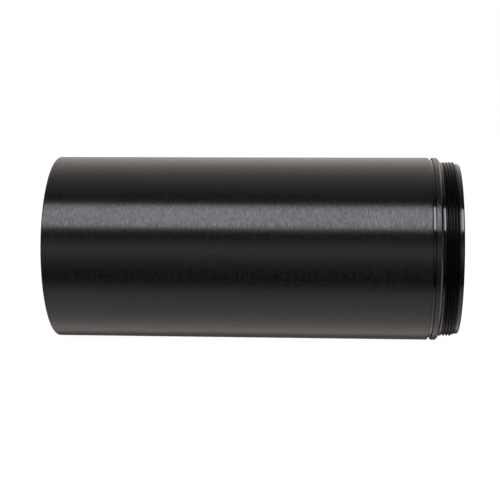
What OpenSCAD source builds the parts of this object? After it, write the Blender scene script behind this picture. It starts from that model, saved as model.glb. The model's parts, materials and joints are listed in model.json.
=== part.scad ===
// Laser collimator with a T-2 nose: a plain 44 mm body, a threaded nose ring with a target plate inside,
// a tilting laser module, a single lithium cell and a screw-in tail cap with a push button.
// The optical axis is +X, and the beam leaves along +X. The origin is the centre of the T-2 seat.
// Every turned piece is drawn upright, with z measured from the seat plane, and on_axis() lays it down.

/* [Body] */
// Outside diameter of the body tube and of the bead
body_d = 44; // [44:0.5:48]
// Length from the rear rim to the T-2 seat
body_l = 92.2; // [92:0.1:110]
// Bore that holds the optical parts
front_bore_d = 40; // [40:0.1:40.4]
// Bore that holds the battery carrier
battery_bore_d = 38; // [38:0.1:38.4]
// Bore that takes the tail cap
tail_bore_d = 41.1; // [41:0.05:41.3]

/* [T-2 nose] */
// Major diameter of the nose thread
nose_thread_d = 42; // [41.8:0.05:42]
// Pitch of the nose thread
nose_pitch = 0.75; // [0.7:0.05:0.8]
// Number of full thread crests
nose_crests = 4; // [3:1:4]
// Length of the nose ahead of the seat
nose_l = 4.9; // [4.7:0.1:6]
// Clear diameter inside the nose
nose_bore_d = 37; // [37:0.1:37.2]

/* [Laser module] */
// Outside diameter of the sleeve round the laser module
sleeve_d = 16; // [15.9:0.05:16]
// Distance from the pivot O-ring back to the collimation screws
lever_l = 18.6; // [18:0.1:19]
// Diameter of the beam's aperture
aperture_d = 1.5; // [1:0.1:2]

/* [Power] */
// Diameter of the lithium cell
cell_d = 17; // [16.8:0.1:17.2]
// Length of the lithium cell, with its nub
cell_l = 34.5; // [34:0.1:34.8]
// Travel of the push button
button_travel = 1.2; // [0.8:0.1:1.4]

/* [Hidden] */
$fn = 96;

anodised_black = [0.07, 0.07, 0.075];
body_r = body_d / 2;
edge = 0.3;        // broken edge on the tube and on most turned pieces
slip = 0.1;        // radial gap of pieces that slide into a bore
press_gap = 0.05;  // smallest gap between pieces that move against each other

// Stations along the axis, from the seat plane
tube_front = -2.2;
neck_front = tube_front + 0.58;
neck_r = body_r - 0.55;
bead_back = neck_front + 0.12;
seat_chamfer = 0.45;
relief_w = 0.2;    // thread relief next to the seat
shank_l = 0.6;
first_crest = 1.24;
pilot_back = 4.05;
pilot_relief = 0.2; // depth of the groove between the last crest and the pilot
pilot_r = nose_thread_d / 2 - 0.5;
nose_thread_depth = 0.46;
spigot_back = -8.6;
spigot_bore_r = 16.5;
plate_back = -3.7;
plate_t = 1.5;
retainer_t = 2;
retainer_pitch = 0.5;
pivot_ring_t = 6;
pivot_z = spigot_back - pivot_ring_t / 2;
screw_z = pivot_z - lever_l;
adjuster_t = 12;
adjuster_back = screw_z - adjuster_t / 2;
board_t = 1.6;
board_back = adjuster_back - board_t;
contact_h = 1.4;
cell_front = board_back - contact_h;
cell_back = cell_front - cell_l;
rear = -body_l;
tail_bore_l = 12.5;
clip_t = 1;
clip_back = rear + tail_bore_l + 0.7;
clip_groove_r = battery_bore_d / 2 + 0.8;
carrier_back = clip_back + clip_t + 0.1;

// Tail cap stations, counted from the rear rim
cap_back = rear + 0.8;
cap_front = rear + 12;
cap_r = tail_bore_d / 2 - 0.15;
bezel_front = cap_back + 1.5;
bezel_r = 9;
web_front = cap_back + 3;
button_r = 6;
button_flange_r = 6.8;
button_back = cap_back + 0.25;
button_front = web_front - 0.3;
board_seat = cap_front - 2.4;
switch_back = board_seat - 3;
switch_board_t = 1.2;
board_pocket_r = 13;
switch_pocket_r = 9.5;
button_bore_r = 7;
tail_thread_back = rear + 5.5;
tail_pitch = 1;
tail_crests = 6;

// Collimation screws: their directions, as angles about the axis, are at 90 degrees on the +Y side
angle_a = 135;
angle_b = 45;
tip_r = 1.5;
screw_r = 1.95;
screw_pitch = 0.5;
screw_hole_r = 2.02;
sleeve_r = sleeve_d / 2;
tip_centre = sleeve_r + press_gap + tip_r;
screw_inner = tip_centre + 1.1;
screw_outer = body_r - 0.6;

// ---- Helpers ----

// Lays a piece drawn along +Z on the optical axis.
module on_axis() rotate([0, 90, 0]) children();

// Puts a piece drawn along +Z on a radial line at the given angle, with z measured from the axis.
module radial(angle, z) translate([0, 0, z]) rotate([0, 0, angle]) rotate([0, 90, 0]) children();

// A closed ring of revolution from outer points (listed upward) down to a plain bore.
module turned(points) rotate_extrude() polygon(points);

// Plain ring between two stations.
module ring(r_out, r_in, z0, z1) rotate_extrude() translate([r_in, z0]) square([r_out - r_in, z1 - z0]);

// Profile points of a row of 60 degree crests: out to the crest from the root, and back.
function crests(z0, pitch, count, r_crest, r_root) = let (
    flat = pitch / 8,
    half = flat / 2 + abs(r_crest - r_root) * tan(30)
) [
    for (i = [0 : count - 1])
        let (z = z0 + i * pitch)
            each [
                [r_root, z - half], [r_crest, z - flat / 2],
                [r_crest, z + flat / 2], [r_root, z + half]
            ]
];

// The same points in the other order, for a row of grooves in a bore.
function reversed(points) = [for (i = [len(points) - 1 : -1 : 0]) points[i]];

// One ring of a swept wire: a circle of radius wire_r about p, square to direction t.
// ref is a direction that the wire never runs along.
function wire_ring(p, t, wire_r, sides, ref) = let (
    d = t / norm(t),
    side = cross(ref, d),
    u = side / norm(side),
    v = cross(d, u)
) [for (k = [0 : sides - 1]) p + wire_r * (cos(360 * k / sides) * u + sin(360 * k / sides) * v)];

// A wire swept along a list of points.
module wire(points, wire_r, sides, ref) {
    last = len(points) - 1;
    corners = [
        for (i = [0 : last])
            let (t = points[min(i + 1, last)] - points[max(i - 1, 0)])
                each wire_ring(points[i], t, wire_r, sides, ref)
    ];
    walls = [
        for (i = [0 : last - 1], k = [0 : sides - 1])
            let (a = i * sides + k, b = i * sides + (k + 1) % sides)
                [a, a + sides, b + sides, b]
    ];
    ends = [
        [for (k = [0 : sides - 1]) k],
        [for (k = [sides - 1 : -1 : 0]) last * sides + k]
    ];
    polyhedron(corners, concat(walls, ends));
}

// A compression spring between two stations, with one closed turn at each end.
// Its radius runs from r0 at the bottom to r1 at the top.
spring_sides = 6;
spring_steps = 16;

module spring(z0, z1, r0, r1, wire_r, turns) {
    // Height gained in a closed turn, which lies on the next one.
    closed_rise = 1.9 * wire_r;
    low = z0 + wire_r + closed_rise;
    high = z1 - wire_r - closed_rise;
    function share(t) = min(1, max(0, (t - 1) / turns));
    function radius(t) = r0 + (r1 - r0) * share(t);
    function lift(t) = closed_rise * (min(t, 1) - 1 + max(t - turns - 1, 0));
    function height(t) = low + (high - low) * share(t) + lift(t);
    wire([
        for (i = [0 : (turns + 2) * spring_steps])
            let (t = i / spring_steps)
                [radius(t) * cos(360 * t), radius(t) * sin(360 * t), height(t)]
    ], wire_r, spring_sides, [0, 0, 1]);
}

// ---- Housing ----

module body_tube() {
    color(anodised_black) on_axis() difference() {
        turned(concat(
            [[tail_bore_d / 2 + edge, rear], [body_r - edge, rear], [body_r, rear + edge]],
            [[body_r, tube_front - edge], [body_r - edge, tube_front], [front_bore_d / 2, tube_front]],
            front_female_thread(),
            [[front_bore_d / 2, adjuster_back], [battery_bore_d / 2, adjuster_back]],
            [[battery_bore_d / 2, clip_back + clip_t], [clip_groove_r, clip_back + clip_t]],
            [[clip_groove_r, clip_back], [battery_bore_d / 2, clip_back]],
            [[battery_bore_d / 2, rear + tail_bore_l], [tail_bore_d / 2, rear + tail_bore_l]],
            tail_female_thread(),
            [[tail_bore_d / 2, rear + edge]]
        ));
        for (angle = [angle_a, angle_b])
            radial(angle, screw_z) translate([0, 0, body_r - 3]) cylinder(r = 2.2, h = 4);
    }
}

// Thread grooves inside the tube, listed from front to back along the bore.
function front_female_thread() =
    reversed(crests(spigot_back + 1.5, nose_pitch, 6, front_bore_d / 2 + 0.35, front_bore_d / 2));
function tail_female_thread() =
    reversed(crests(tail_thread_back, tail_pitch, tail_crests, tail_bore_d / 2 + 0.4, tail_bore_d / 2));

module nose_ring() {
    spigot_r = front_bore_d / 2 - 0.03;
    bore_r = nose_bore_d / 2;
    seat_r = nose_thread_d / 2;
    root_r = seat_r - nose_thread_depth;
    color([0.05, 0.05, 0.055]) on_axis() turned(concat(
        [[spigot_bore_r + edge, spigot_back], [spigot_r - 0.6, spigot_back]],
        [[spigot_r - 0.4, spigot_back + 0.6]],
        crests(spigot_back + 1.5, nose_pitch, 6, spigot_r, spigot_r - 0.4),
        [[spigot_r - 0.4, tube_front], [neck_r, tube_front], [neck_r, neck_front]],
        [[body_r, bead_back], [body_r, -seat_chamfer], [body_r - seat_chamfer, 0]],
        [[seat_r, 0], [root_r, 0.06], [root_r, relief_w - 0.06], [seat_r, relief_w]],
        [[seat_r, shank_l], [root_r, shank_l + 0.2]],
        crests(first_crest, nose_pitch, nose_crests, seat_r, root_r),
        [[root_r - pilot_relief, pilot_back - 0.15], [root_r - pilot_relief, pilot_back - 0.05]],
        [[pilot_r, pilot_back], [pilot_r, nose_l - 0.2], [pilot_r - 0.2, nose_l]],
        [[bore_r + 0.4, nose_l], [bore_r, nose_l - 0.4]],
        reversed(crests(-1.9, retainer_pitch, 12, bore_r + 0.27, bore_r)),
        [[bore_r, plate_back]],
        [[spigot_bore_r, plate_back], [spigot_bore_r, spigot_back + edge]]
    ));
}

// ---- Target ----

graticule_radii = [5.5, 8.5, 11.5, 14.5];
graticule_w = 0.5;
graticule_t = 0.2;

module target_plate() {
    plate_front = plate_back + plate_t;
    color([0.92, 0.92, 0.88]) on_axis() difference() {
        ring(nose_bore_d / 2 - slip, 2.02, plate_back, plate_front);
        for (r = graticule_radii)
            ring(r + graticule_w / 2, r - graticule_w / 2, plate_front - graticule_t, plate_front + 1);
    }
}

// Black filler in the four grooves of the target plate.
module target_graticule() {
    plate_front = plate_back + plate_t;
    color([0.03, 0.03, 0.03]) on_axis() for (r = graticule_radii)
        ring(r + graticule_w / 2, r - graticule_w / 2, plate_front - graticule_t, plate_front - 0.03);
}

module target_retainer() {
    back = plate_back + plate_t;
    outer = nose_bore_d / 2 - 0.05;
    inner = outer - 2.3;
    slot_w = 1.2;
    color(anodised_black) on_axis() difference() {
        turned([
            [inner, back], [outer - 0.2, back], [outer, back + 0.2],
            [outer, back + retainer_t - 0.2], [outer - 0.2, back + retainer_t],
            [inner + 0.5, back + retainer_t], [inner, back + retainer_t - 0.5]
        ]);
        for (side = [0, 180])
            rotate([0, 0, side]) translate([inner - 1, -slot_w / 2, back + retainer_t - 0.9])
                cube([outer - inner + 2, slot_w, 2]);
    }
}

// Threaded brass bush with the pinhole, screwed into the target plate from the front.
module aperture_stop() {
    front = plate_back + plate_t;
    color([0.78, 0.6, 0.25]) on_axis() difference() {
        turned([
            [aperture_d / 2, plate_back - 0.9], [2, plate_back - 0.9], [2, front], [3.2, front],
            [3.2, front + 0.5], [2.9, front + 0.8],
            [aperture_d / 2 + 0.9, front + 0.8], [aperture_d / 2, front + 0.2]
        ]);
        for (side = [0, 180])
            rotate([0, 0, side]) translate([2.1, -0.3, front + 0.35]) cube([2, 0.6, 1]);
    }
}

// ---- Optical chassis ----

o_ring_section = 1.5;

module pivot_ring() {
    groove_r = sleeve_r + 1.42;
    bore_r = sleeve_r + 0.5;
    back = spigot_back - pivot_ring_t;
    outer = front_bore_d / 2 - slip;
    half = o_ring_section / 2 + 0.1;
    color([0.62, 0.63, 0.65]) on_axis() turned([
        [bore_r, back], [outer - edge, back], [outer, back + edge],
        [outer, spigot_back - edge], [outer - edge, spigot_back], [bore_r, spigot_back],
        [bore_r, pivot_z + half], [groove_r, pivot_z + half],
        [groove_r, pivot_z - half], [bore_r, pivot_z - half]
    ]);
}

module o_ring(r_mid, z, section) rotate_extrude() translate([r_mid, z]) circle(d = section);

module pivot_o_ring() {
    color([0.02, 0.02, 0.02]) on_axis() o_ring(sleeve_r + 0.71, pivot_z, 1.34);
}

module spacer_sleeve() {
    outer = front_bore_d / 2 - slip;
    color([0.62, 0.63, 0.65]) on_axis()
        ring(outer, outer - 2.4, adjuster_back + adjuster_t, spigot_back - pivot_ring_t);
}

module adjuster_ring() {
    outer = front_bore_d / 2 - slip;
    bore_r = sleeve_r + 1;
    color([0.62, 0.63, 0.65]) on_axis() difference() {
        turned([
            [bore_r, adjuster_back], [outer - edge, adjuster_back], [outer, adjuster_back + edge],
            [outer, adjuster_back + adjuster_t - edge], [outer - edge, adjuster_back + adjuster_t],
            [bore_r, adjuster_back + adjuster_t]
        ]);
        for (angle = [angle_a, angle_b, angle_a + 180, angle_b + 180])
            radial(angle, screw_z) cylinder(r = screw_hole_r, h = body_r);
        for (side = [-1, 1])
            translate([side * board_screw_x, 0, adjuster_back - 1]) cylinder(r = 0.85, h = 6);
    }
}

// ---- Laser module ----

housing_r = 6;
housing_bore_r = 4.5;
housing_back = pivot_z - 20.6;
housing_front = -6;
lens_back = -10.7;

module module_sleeve() {
    color([0.2, 0.2, 0.21]) on_axis() turned([
        [housing_r + 0.02, screw_z - 3.6], [sleeve_r - 0.4, screw_z - 3.6], [sleeve_r, screw_z - 3.2],
        [sleeve_r, -7.3], [sleeve_r - 0.4, -6.9], [housing_r + 0.02, -6.9]
    ]);
}

module laser_housing() {
    color([0.8, 0.62, 0.28]) on_axis() turned([
        [housing_bore_r, housing_back], [housing_r - 0.3, housing_back], [housing_r, housing_back + 0.3],
        [housing_r, housing_front - 0.3], [housing_r - 0.3, housing_front],
        [housing_bore_r + 0.3, housing_front],
        [housing_bore_r, housing_front - 0.3]
    ]);
}

module lens_cell() {
    outer = housing_bore_r - 0.04;
    back = lens_back - 1;
    color([0.8, 0.62, 0.28]) on_axis() difference() {
        turned(concat(
            [[2.6, back], [outer - 0.3, back]],
            crests(back + 0.6, 0.5, 9, outer, outer - 0.25),
            [[outer - 0.3, housing_front - 0.2], [3.2, housing_front - 0.2]],
            [[3.2, lens_back], [2.6, lens_back]]
        ));
        translate([-6, -0.4, housing_front - 0.9]) cube([12, 0.8, 2]);
    }
}

// Plano-convex lens, its curved side towards the front.
module collimating_lens() {
    lens_r = 3.15;
    curve_r = 5;
    edge_t = 1.2;
    centre_z = lens_back + edge_t - sqrt(curve_r * curve_r - lens_r * lens_r);
    color([0.75, 0.85, 0.9, 0.5]) on_axis() intersection() {
        translate([0, 0, lens_back]) cylinder(r = lens_r, h = 4);
        translate([0, 0, centre_z]) sphere(r = curve_r);
    }
}

module focus_spring() {
    color([0.7, 0.7, 0.72]) on_axis()
        spring(diode_front, lens_back - 1, 3.7, 3.7, 0.25, 4);
}

diode_front = -18.2;

module diode_mount() {
    outer = housing_bore_r - 0.02;
    color([0.8, 0.62, 0.28]) on_axis() turned([
        [2.4, diode_front - 4.5], [outer, diode_front - 4.5], [outer, diode_front],
        [2.85, diode_front], [2.85, diode_front - 2.6], [2.4, diode_front - 2.6]
    ]);
}

// Metal can with its flange, glass cap and three leads.
module laser_diode() {
    base = diode_front - 2.6;
    color([0.75, 0.68, 0.45]) on_axis() {
        difference() {
            turned([
                [0, base], [2.8, base], [2.8, base + 1.2], [2.35, base + 1.2], [2.35, base + 3.4],
                [2.15, base + 3.6], [0, base + 3.6]
            ]);
            translate([0, 0, base + 3.3]) cylinder(r = 0.8, h = 1);
        }
        for (p = [[-1, 0.64], [1, 0.64], [0, -0.64]])
            translate([p[0], p[1], base - 5]) cylinder(r = 0.22, h = 5.2, $fn = 24);
    }
}

module driver_board() {
    back = housing_back + 0.5;
    long = diode_front - 5 - back;
    color([0.1, 0.35, 0.2]) on_axis() {
        translate([-3.9, -0.4, back]) cube([7.8, 0.8, long]);
        translate([-2.2, 0.4, back + 2]) cube([2, 1, 1.6]);
        translate([0.8, 0.4, back + 1.4]) cube([1.6, 0.8, 0.9]);
        translate([-1, -1.5, back + 1.5]) cube([2.2, 1.1, 2.6]);
    }
}

// Leads from the contact board to the driver board, each a short slack loop.
lead_route = [
    [2.6, 1.2, 0.03], [2.6, 1.2, 0.3], [2.75, 1.6, 1], [2.9, 1.9, 1.8], [2.8, 1.7, 2.7],
    [2.4, 1.2, 3.7], [2.2, 0.95, 4.7], [2.2, 0.9, 5.6]
];
lead_r = 0.45;

module lead_wire(side) {
    wire([for (p = lead_route) [side * p[0], side * p[1], adjuster_back + p[2]]], lead_r, 8, [1, 0, 0]);
}

module lead_wire_positive() color([0.7, 0.05, 0.05]) on_axis() lead_wire(1);
module lead_wire_negative() color([0.05, 0.05, 0.05]) on_axis() lead_wire(-1);

// ---- Collimation screws, their brass tips, and the spring plungers opposite ----

module collimation_screw(angle) {
    root_r = screw_r - 0.3;
    count = 16;
    color([0.12, 0.12, 0.13]) on_axis() radial(angle, screw_z) difference() {
        turned(concat(
            [[0, screw_inner], [root_r, screw_inner]],
            crests(screw_inner + 0.7, screw_pitch, count, screw_r, root_r),
            [[screw_r, screw_outer - 2], [screw_r, screw_outer - 0.25]],
            [[screw_r - 0.25, screw_outer], [0, screw_outer]]
        ));
        translate([0, 0, screw_outer - 2]) cylinder(d = 2 / cos(30), h = 3, $fn = 6);
    }
}

// Round-nosed pin from its nose to the given radius, with the nose against the module.
module round_nosed(end) intersection() {
    union() {
        translate([0, 0, tip_centre]) sphere(r = tip_r);
        translate([0, 0, tip_centre]) cylinder(r = tip_r, h = end - tip_centre);
    }
    translate([0, 0, tip_centre - tip_r]) cylinder(r = 2 * tip_r, h = end - tip_centre + tip_r);
}

module screw_tip(angle) {
    color([0.8, 0.62, 0.28]) on_axis() radial(angle, screw_z) round_nosed(screw_inner - press_gap);
}

plunger_head = tip_centre + 1.2;
plunger_back = 12.6;

module return_plunger(angle) {
    color([0.8, 0.62, 0.28]) on_axis() radial(angle + 180, screw_z) {
        round_nosed(plunger_head);
        translate([0, 0, plunger_head]) cylinder(r = screw_r, h = plunger_back - plunger_head);
    }
}

module return_spring(angle) {
    color([0.7, 0.7, 0.72]) on_axis() radial(angle + 180, screw_z)
        spring(plunger_back, front_bore_d / 2 - 0.02, 1.5, 1.5, 0.2, 6);
}

module collimation_screw_a() collimation_screw(angle_a);
module collimation_screw_b() collimation_screw(angle_b);
module screw_tip_a() screw_tip(angle_a);
module screw_tip_b() screw_tip(angle_b);
module return_plunger_a() return_plunger(angle_a);
module return_plunger_b() return_plunger(angle_b);
module return_spring_a() return_spring(angle_a);
module return_spring_b() return_spring(angle_b);

// ---- Power ----

board_screw_x = 14;

module contact_board() {
    color([0.1, 0.35, 0.2]) on_axis() difference() {
        ring(battery_bore_d / 2 - 0.3, 1, board_back, adjuster_back);
        for (side = [-1, 1])
            translate([side * board_screw_x, 0, board_back - 1]) cylinder(r = 1.1, h = 4);
        rotate([0, 0, 90]) translate([battery_bore_d / 2 - 1.5, -1.5, board_back - 1]) cube([4, 3, 4]);
    }
}

// Brass button that touches the cell's nub, with its rivet through the board.
module positive_contact() {
    color([0.85, 0.68, 0.3]) on_axis() turned([
        [0, board_back - contact_h], [2.2, board_back - contact_h], [3, board_back - contact_h + 0.5],
        [3, board_back], [0.95, board_back], [0.95, adjuster_back + 0.5], [0, adjuster_back + 0.5]
    ]);
}

module board_screws() {
    color([0.72, 0.72, 0.74]) on_axis() for (side = [-1, 1])
        translate([side * board_screw_x, 0, 0]) difference() {
            turned([
                [0, board_back - 0.9], [1.5, board_back - 0.9], [1.9, board_back - 0.5], [1.9, board_back],
                [0.8, board_back], [0.8, adjuster_back + 4], [0, adjuster_back + 4]
            ]);
            translate([0, 0, board_back - 1]) cylinder(d = 1.5, h = 0.7, $fn = 6);
        }
}

module battery_carrier() {
    outer = battery_bore_d / 2 - 0.15;
    bore_r = cell_d / 2 + 0.25;
    flange = 2.4;
    wall_r = bore_r + 1.8;
    front = board_back - 0.05;
    middle = (carrier_back + front) / 2;
    color([0.06, 0.06, 0.06]) on_axis() {
        difference() {
            union() {
                ring(wall_r, bore_r, carrier_back, front);
                ring(outer, bore_r, carrier_back, carrier_back + flange);
                ring(outer, bore_r, middle - flange / 2, middle + flange / 2);
                ring(outer, bore_r, front - flange, front);
                for (a = [0 : 60 : 300])
                    rotate([0, 0, a + 30]) translate([bore_r + 0.5, -0.7, carrier_back])
                        cube([outer - bore_r - 1, 1.4, front - carrier_back]);
            }
            for (side = [-1, 1])
                translate([side * board_screw_x, 0, front - 1.3]) cylinder(r = 2.3, h = 3);
        }
    }
}

// Lithium cell: wrapped can with a nub at the front and a flat base at the back.
module battery_cell() {
    r = cell_d / 2;
    color([0.12, 0.2, 0.42]) on_axis() turned([
        [0, cell_back], [r - 1, cell_back], [r - 0.9, cell_back + 0.2], [r, cell_back + 0.7],
        [r, cell_front - 1.6], [r - 0.6, cell_front - 1],
        [r - 2.2, cell_front - 1], [r - 2.5, cell_front - 1.3],
        [3.3, cell_front - 1.3], [3.3, cell_front - 0.2], [3.1, cell_front], [0, cell_front]
    ]);
}

// Internal retaining ring behind the carrier, with two lugs and their plier holes.
module carrier_clip() {
    outer = battery_bore_d / 2 + 0.6;
    inner = battery_bore_d / 2 - 1.9;
    gap_w = 7;
    lug_r = 2.1;
    color([0.45, 0.45, 0.47]) on_axis() translate([0, 0, clip_back + 0.05]) linear_extrude(clip_t - 0.1)
        difference() {
            union() {
                difference() {
                    circle(r = outer);
                    circle(r = inner);
                    translate([inner - 2, -gap_w / 2]) square([6, gap_w]);
                }
                for (side = [-1, 1])
                    translate([inner - 0.1, side * (gap_w / 2 + 1.2)]) circle(r = lug_r);
            }
            for (side = [-1, 1])
                translate([inner - 0.1, side * (gap_w / 2 + 1.2)]) circle(r = 0.8);
        }
}

// ---- Tail cap and switch ----

seal_section = 1.36;
seal_back = rear + 2.6;
seal_w = 1.7;

module tail_cap() {
    groove_r = cap_r - 1.25;
    root_r = cap_r - 0.4;
    color(anodised_black) on_axis() difference() {
        turned(concat(
            [[button_bore_r, bezel_front], [bezel_r, bezel_front], [bezel_r, cap_back]],
            [[cap_r - 0.5, cap_back], [cap_r, cap_back + 0.5]],
            [[cap_r, seal_back], [groove_r, seal_back]],
            [[groove_r, seal_back + seal_w], [cap_r, seal_back + seal_w]],
            [[cap_r, tail_thread_back - 0.8], [root_r, tail_thread_back - 0.55]],
            crests(tail_thread_back, tail_pitch, tail_crests, cap_r, root_r),
            [[root_r, cap_front - 0.6], [root_r - 0.6, cap_front]],
            [[board_pocket_r + edge, cap_front], [board_pocket_r, cap_front - edge]],
            [[board_pocket_r, board_seat], [switch_pocket_r, board_seat]],
            [[switch_pocket_r, web_front], [button_bore_r, web_front]]
        ));
        for (side = [0, 180])
            rotate([0, 0, side]) translate([10.6, -1.2, cap_back - 1]) cube([20, 2.4, 2.5]);
    }
}

module tail_o_ring() {
    color([0.02, 0.02, 0.02]) on_axis()
        o_ring((tail_bore_d - seal_section) / 2 - 0.02, seal_back + seal_w / 2, seal_section);
}

// Screwed ring round the button, with two spanner holes.
module button_bezel() {
    outer = bezel_r - 0.04;
    inner = button_r + 0.15;
    color([0.6, 0.6, 0.62]) on_axis() difference() {
        turned([
            [inner, cap_back + 0.35], [inner + 0.4, cap_back - 0.05], [outer - 0.3, cap_back - 0.05],
            [outer, cap_back + 0.25], [outer, bezel_front], [inner, bezel_front]
        ]);
        for (side = [-1, 1])
            translate([0, side * (outer + inner) / 2, cap_back - 1]) cylinder(r = 0.5, h = 1.9, $fn = 32);
    }
}

module push_button() {
    dish_r = 40;
    color([0.75, 0.76, 0.78]) on_axis() difference() {
        turned([
            [0, button_back], [button_r - 0.6, button_back],
            [button_r - 0.18, button_back + 0.18], [button_r, button_back + 0.6],
            [button_r, bezel_front + 0.05], [button_flange_r, bezel_front + 0.05],
            [button_flange_r, button_front], [0, button_front]
        ]);
        translate([0, 0, button_back - dish_r + 0.4]) sphere(r = dish_r, $fn = 200);
    }
}

module button_spring() {
    color([0.7, 0.7, 0.72]) on_axis() spring(button_front, switch_back, 4.6, 4.6, 0.25, 1.5);
}

module switch_plunger() {
    color([0.85, 0.85, 0.82]) on_axis()
        translate([0, 0, button_front]) cylinder(r = 1.8, h = switch_back + 1.2 - button_front - 0.1);
}

module switch_body() {
    side = 11;
    color([0.1, 0.1, 0.1]) on_axis() difference() {
        translate([-side / 2, -side / 2, switch_back]) cube([side, side, board_seat - switch_back]);
        translate([0, 0, switch_back - 1]) cylinder(r = 2, h = 1 + 1.2 + button_travel);
    }
}

module switch_board() {
    color([0.1, 0.35, 0.2]) on_axis()
        translate([0, 0, board_seat]) cylinder(r = board_pocket_r - 0.2, h = switch_board_t);
}

module switch_retainer() {
    outer = board_pocket_r - 0.05;
    back = board_seat + switch_board_t;
    color([0.8, 0.62, 0.28]) on_axis() difference() {
        ring(outer, 9.6, back, cap_front - 0.1);
        for (side = [-1, 1])
            translate([side * 11.3, 0, back + 0.3]) cylinder(r = 0.7, h = 3, $fn = 32);
    }
}

module battery_spring() {
    color([0.8, 0.8, 0.78]) on_axis()
        spring(board_seat + switch_board_t, cell_back, 6.6, 3.4, 0.45, 3.5);
}

// ---- Nodes ----

body_tube();
nose_ring();
target_plate();
target_graticule();
target_retainer();
aperture_stop();
pivot_ring();
pivot_o_ring();
spacer_sleeve();
adjuster_ring();
module_sleeve();
laser_housing();
lens_cell();
collimating_lens();
focus_spring();
laser_diode();
diode_mount();
driver_board();
lead_wire_positive();
lead_wire_negative();
collimation_screw_a();
collimation_screw_b();
screw_tip_a();
screw_tip_b();
return_plunger_a();
return_plunger_b();
return_spring_a();
return_spring_b();
contact_board();
positive_contact();
board_screws();
battery_carrier();
battery_cell();
carrier_clip();
tail_cap();
tail_o_ring();
button_bezel();
push_button();
button_spring();
switch_body();
switch_plunger();
switch_board();
switch_retainer();
battery_spring();
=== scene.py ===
"""The looks of the laser collimator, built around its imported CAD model.

Metres, in the CAD's frame: +X along the beam, the origin at the centre of the T-2 seat, +Z up.
"""
import json
from collections import namedtuple
from math import asin, cos, hypot, pi, radians, sin, sqrt, tan

import bmesh
import bpy
import numpy as np
from mathutils import Euler, Matrix, Vector


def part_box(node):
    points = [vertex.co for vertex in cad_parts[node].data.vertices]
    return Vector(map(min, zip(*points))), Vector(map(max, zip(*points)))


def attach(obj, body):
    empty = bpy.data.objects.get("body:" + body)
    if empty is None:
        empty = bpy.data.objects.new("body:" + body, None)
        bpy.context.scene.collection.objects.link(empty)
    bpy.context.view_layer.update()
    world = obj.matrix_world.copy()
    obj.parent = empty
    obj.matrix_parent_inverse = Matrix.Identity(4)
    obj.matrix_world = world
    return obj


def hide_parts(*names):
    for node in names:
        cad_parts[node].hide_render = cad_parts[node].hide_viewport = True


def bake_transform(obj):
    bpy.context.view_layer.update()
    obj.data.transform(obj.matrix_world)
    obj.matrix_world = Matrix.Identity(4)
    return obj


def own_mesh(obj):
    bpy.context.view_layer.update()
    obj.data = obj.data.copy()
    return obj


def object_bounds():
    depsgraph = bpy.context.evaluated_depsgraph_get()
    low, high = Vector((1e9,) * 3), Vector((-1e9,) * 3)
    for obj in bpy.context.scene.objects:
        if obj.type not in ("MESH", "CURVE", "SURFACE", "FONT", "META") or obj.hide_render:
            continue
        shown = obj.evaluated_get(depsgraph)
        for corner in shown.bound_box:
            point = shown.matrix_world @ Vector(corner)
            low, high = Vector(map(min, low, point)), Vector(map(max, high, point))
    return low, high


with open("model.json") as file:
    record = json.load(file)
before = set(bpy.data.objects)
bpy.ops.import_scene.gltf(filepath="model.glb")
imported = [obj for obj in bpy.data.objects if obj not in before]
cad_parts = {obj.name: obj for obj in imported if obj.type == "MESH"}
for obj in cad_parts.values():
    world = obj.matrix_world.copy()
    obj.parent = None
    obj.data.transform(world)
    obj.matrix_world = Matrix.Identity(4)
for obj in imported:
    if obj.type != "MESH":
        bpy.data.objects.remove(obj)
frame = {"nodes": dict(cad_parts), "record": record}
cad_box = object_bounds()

MM = 0.001


def new_object(name, data):
    """A new object in the scene."""
    made = bpy.data.objects.new(name, data)
    bpy.context.scene.collection.objects.link(made)
    return made


# ---- Camera ----

CAMERA_PLACE = Vector((-23.2, -304.1, 32.0)) * MM
CAMERA_PAN = radians(4.16)      # turned towards the tail
CAMERA_DIP = radians(6.11)      # looking down
CAMERA_LENS = 90.1                   # millimetres, on the 36 mm sensor


def add_camera():
    data = bpy.data.cameras.new("camera")
    data.lens = CAMERA_LENS
    data.sensor_width = 36
    data.clip_start = 0.01
    camera = new_object("camera", data)
    camera.location = CAMERA_PLACE
    camera.rotation_euler = Euler((pi / 2 - CAMERA_DIP, 0, CAMERA_PAN))
    bpy.context.scene.camera = camera


# ---- Nodes ----

MATERIALS = {}   # by name, which is the record's slot for the object's own


def new_material(name):
    """The emptied node tree of a new material, which is kept in MATERIALS."""
    material = MATERIALS[name] = bpy.data.materials.new(name)
    material.use_nodes = True
    material.node_tree.nodes.clear()
    return material.node_tree


def add_node(tree, kind, links=(), **settings):
    """A shader node. Settings are sockets' values or its own; links are (socket, output) pairs."""
    made = tree.nodes.new("ShaderNode" + kind)
    for key, value in settings.items():
        name = key.replace("_", " ")
        found = [s for s in made.inputs if s.name.lower() == name.lower()]
        if found and not hasattr(made, key):
            found[0].default_value = value
        else:
            setattr(made, key, value)
    for socket, output in links:
        tree.links.new(output, made.inputs[socket])
    return made


def maths(tree, operation, a, b=None):
    """A Math node's output. a and b are outputs or numbers."""
    made = add_node(tree, "Math")
    made.operation = operation
    for index, value in enumerate((a, b)):
        if isinstance(value, bpy.types.NodeSocket):
            tree.links.new(value, made.inputs[index])
        elif value is not None:
            made.inputs[index].default_value = value
    return made.outputs[0]


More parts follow.
